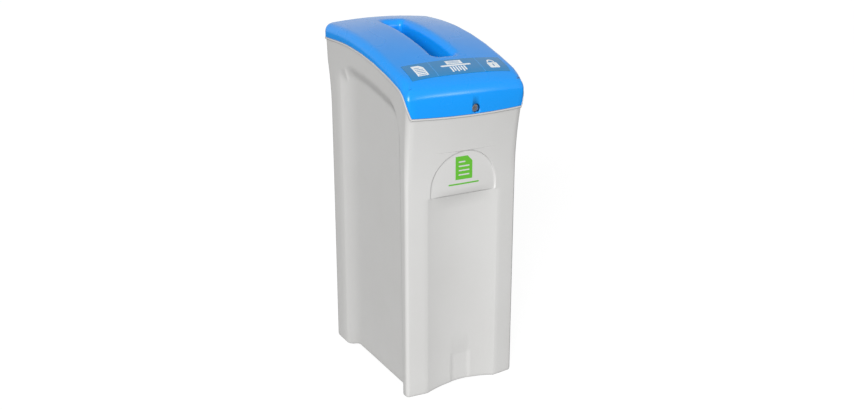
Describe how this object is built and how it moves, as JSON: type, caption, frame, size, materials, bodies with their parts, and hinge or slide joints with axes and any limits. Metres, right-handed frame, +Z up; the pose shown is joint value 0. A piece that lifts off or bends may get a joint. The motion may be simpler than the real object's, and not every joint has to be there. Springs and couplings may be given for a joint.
{
  "type": "secure shredding console",
  "caption": "Tall free-standing bin for confidential paper: moulded body with recessed panels, hinged slotted lid with a cam lock, and a sheet liner with swinging wire bails.",
  "frame": {"origin": "on the floor, under the middle of the footprint's bounding box", "axes": "+Z up, the front with the lock faces -Y, +X to the right seen from the front"},
  "size_m": [0.306, 0.4618, 0.838],
  "materials": {
    "body_plastic": "light grey moulded plastic, low sheen",
    "lid_plastic": "bright blue moulded plastic, semi gloss",
    "label_film": "printed film bonded to the lid",
    "hinge_steel": "plain steel",
    "zinc_steel": "zinc plated",
    "bright_steel": "bright steel",
    "liner_sheet": "galvanised sheet",
    "lock_chrome": "satin chrome",
    "wire_steel": "zinc plated wire"
  },
  "bodies": {
    "body": {"body_shell": "body_plastic", "strike_plate": "zinc_steel", "strike_screws": "bright_steel", "body_hinge_leaves": "hinge_steel", "body_leaf_bolts": "zinc_steel", "body_leaf_nuts": "zinc_steel", "hinge_pins": "bright_steel", "hinge_pin_clips": "zinc_steel", "paper_liner": "liner_sheet", "bail_ears": "zinc_steel", "ear_rivets": "bright_steel"},
    "lid": {"lid_shell": "lid_plastic", "lid_label": "label_film", "lid_hinge_leaves": "hinge_steel", "lid_leaf_bolts": "zinc_steel", "lid_leaf_nuts": "zinc_steel", "lock_barrel": "lock_chrome", "lock_washer": "zinc_steel", "lock_nut": "zinc_steel"},
    "lock_rotor": {"lock_plug": "lock_chrome", "lock_cam": "zinc_steel", "cam_screw": "bright_steel"},
    "front_bail_swing": {"front_bail": "wire_steel"},
    "rear_bail_swing": {"rear_bail": "wire_steel"}
  },
  "joints": [
    {"name": "lid_hinge", "type": "hinge", "parent": "body", "child": "lid", "pos_m": [0, 0.2255, 0.7885], "axis": [-1, 0, 0], "range_deg": [0, 100]},
    {"name": "lock_turn", "type": "hinge", "parent": "lid", "child": "lock_rotor", "pos_m": [0.0165, -0.2217, 0.68606], "axis": [0, -1, 0], "range_deg": [0, 90]},
    {"name": "front_bail_hinge", "type": "hinge", "parent": "body", "child": "front_bail_swing", "pos_m": [0, -0.1815, 0.6221], "axis": [1, 0, 0], "range_deg": [0, 170]},
    {"name": "rear_bail_hinge", "type": "hinge", "parent": "body", "child": "rear_bail_swing", "pos_m": [0, 0.185, 0.6221], "axis": [-1, 0, 0], "range_deg": [0, 170]}
  ]
}
